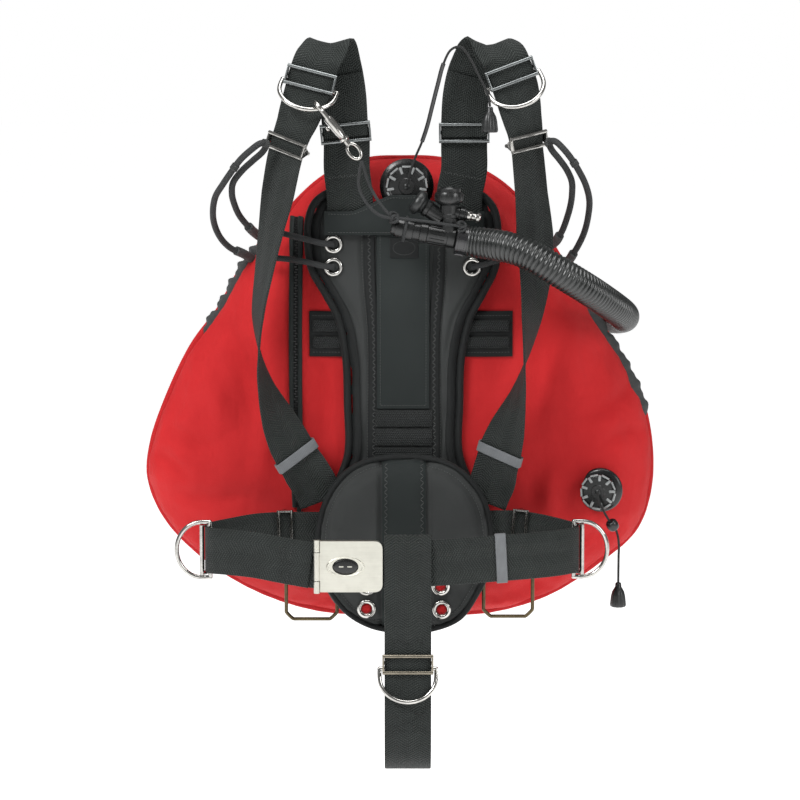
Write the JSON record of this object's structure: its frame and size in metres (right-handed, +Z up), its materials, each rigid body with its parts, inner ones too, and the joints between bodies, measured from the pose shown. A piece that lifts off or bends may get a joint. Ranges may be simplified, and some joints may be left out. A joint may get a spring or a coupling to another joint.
{
  "type": "buoyancy compensator vest",
  "caption": "Sidemount diving vest: red air cell, padded back, webbing harness with rings and buckle, inflator hose and dump valves.",
  "frame": {"origin": "on the centre line, level with the tops of the shoulder straps, in the plane of the back pad's rear face", "axes": "+Z up, -Y towards the diver, +X to the right of a viewer who faces the diver's side"},
  "size_m": [0.5627, 0.2611, 0.7901],
  "materials": {
    "red_nylon": "woven coated nylon",
    "bladder_film": "smooth film",
    "pad_cloth": "padded ballistic cloth",
    "panel_cloth": "smooth coated cloth",
    "webbing": "woven polyamide webbing",
    "steel": "polished stainless",
    "brushed": "satin stainless",
    "bronze_wire": "dark bronze",
    "elastic": "satin elastic",
    "black_plastic": "moulded, satin",
    "rubber": "moulded rubber",
    "cord": "braided cord"
  },
  "bodies": {
    "root": {"wing_front_panel": "red_nylon", "wing_back_panel": "red_nylon", "wing_bladder": "bladder_film", "back_pad": "pad_cloth", "lumbar_pad": "pad_cloth", "centre_panel": "panel_cloth", "shoulder_strap_left": "webbing", "pad_strap_left": "webbing", "waist_belt_left": "webbing", "rear_tri_glide_left": "steel", "shoulder_tri_glide_left": "steel", "bungee_tri_glide_left": "steel", "waist_tri_glide_left": "steel", "belt_tri_glide_left": "steel", "shoulder_keeper_left": "elastic", "bungee_left": "cord", "rail_left": "bronze_wire", "shoulder_strap_right": "webbing", "pad_strap_right": "webbing", "waist_belt_right": "webbing", "rear_tri_glide_right": "steel", "shoulder_tri_glide_right": "steel", "bungee_tri_glide_right": "steel", "waist_tri_glide_right": "steel", "belt_tri_glide_right": "steel", "shoulder_keeper_right": "elastic", "bungee_right": "cord", "rail_right": "bronze_wire", "belt_keeper": "elastic", "crotch_strap": "webbing", "buckle_pin": "steel", "hose_nipple": "steel", "buckle_frame": "brushed", "inflator_body": "black_plastic", "hose_elbow": "black_plastic", "top_dump_valve": "black_plastic", "lower_dump_valve": "black_plastic", "mouthpiece": "rubber", "corrugated_hose": "rubber", "hose_clamp": "rubber", "snap_cord": "cord"},
    "shoulder_ring_left": {"shoulder_d_ring_left": "steel", "bolt_snap": "steel"},
    "snap_gate": {"snap_bolt": "steel"},
    "snap_swivel": {"snap_eye": "steel"},
    "shoulder_ring_right": {"shoulder_d_ring_right": "steel"},
    "waist_ring_left": {"waist_d_ring_left": "steel"},
    "waist_ring_right": {"waist_d_ring_right": "steel"},
    "crotch_glide": {"crotch_tri_glide": "steel"},
    "crotch_ring": {"crotch_d_ring": "steel"},
    "buckle_lever": {"buckle_cover": "brushed"},
    "oral_button": {"deflate_button": "black_plastic"},
    "power_button": {"inflate_button": "black_plastic"},
    "top_dump_pull": {"top_dump_poppet": "black_plastic", "top_pull_cord": "cord", "top_pull_knob": "rubber"},
    "lower_dump_pull": {"lower_dump_poppet": "black_plastic", "lower_pull_cord": "cord", "lower_pull_knob": "rubber", "cord_lock": "black_plastic"}
  },
  "joints": [
    {"name": "shoulder_ring_left_swing", "type": "hinge", "parent": "root", "child": "shoulder_ring_left", "pos_m": [-0.10072, -0.04523, -0.05131], "axis": [-0.9611, 0.1255, 0.246], "range_deg": [0, 12]},
    {"name": "snap_gate_slide", "type": "slide", "parent": "shoulder_ring_left", "child": "snap_gate", "axis": [0.6178, -0.1196, -0.7772], "range_m": [0, 0.007], "stiffness_N_per_m": 400},
    {"name": "snap_swivel_turn", "type": "hinge", "parent": "shoulder_ring_left", "child": "snap_swivel", "pos_m": [-0.08873, -0.06986, -0.07499], "axis": [0.6178, -0.1196, -0.7772], "range_deg": [-90, 90]},
    {"name": "shoulder_ring_right_swing", "type": "hinge", "parent": "root", "child": "shoulder_ring_right", "pos_m": [0.11576, -0.04513, -0.04559], "axis": [-0.9262, -0.1534, -0.3443], "range_deg": [0, 12]},
    {"name": "waist_ring_left_swing", "type": "hinge", "parent": "root", "child": "waist_ring_left", "pos_m": [-0.20921, -0.07794, -0.54811], "axis": [0.0002, -0.0126, 0.9999], "range_deg": [-40, 60]},
    {"name": "waist_ring_right_swing", "type": "hinge", "parent": "root", "child": "waist_ring_right", "pos_m": [0.18332, -0.07378, -0.54796], "axis": [0, -0.0063, -1], "range_deg": [-40, 60]},
    {"name": "crotch_glide_slide", "type": "slide", "parent": "root", "child": "crotch_glide", "axis": [0, 0, 1], "range_m": [0, 0.03]},
    {"name": "crotch_ring_swing", "type": "hinge", "parent": "crotch_glide", "child": "crotch_ring", "pos_m": [0.004, -0.1165, -0.67048], "axis": [-1, 0, 0], "range_deg": [0, 100]},
    {"name": "buckle_cover_hinge", "type": "hinge", "parent": "root", "child": "buckle_lever", "pos_m": [-0.093, -0.1198, -0.559], "axis": [0, 0, -1], "range_deg": [0, 110]},
    {"name": "deflate_press", "type": "slide", "parent": "root", "child": "oral_button", "axis": [0.9821, 0, -0.1883], "range_m": [0, 0.0035], "stiffness_N_per_m": 500},
    {"name": "inflate_press", "type": "slide", "parent": "root", "child": "power_button", "axis": [0, 0, -1], "range_m": [0, 0.0035], "stiffness_N_per_m": 800},
    {"name": "top_dump_travel", "type": "slide", "parent": "root", "child": "top_dump_pull", "axis": [0, -1, 0], "range_m": [0, 0.004], "stiffness_N_per_m": 400},
    {"name": "lower_dump_travel", "type": "slide", "parent": "root", "child": "lower_dump_pull", "axis": [-0.2377, -0.9713, 0], "range_m": [0, 0.004], "stiffness_N_per_m": 400}
  ]
}
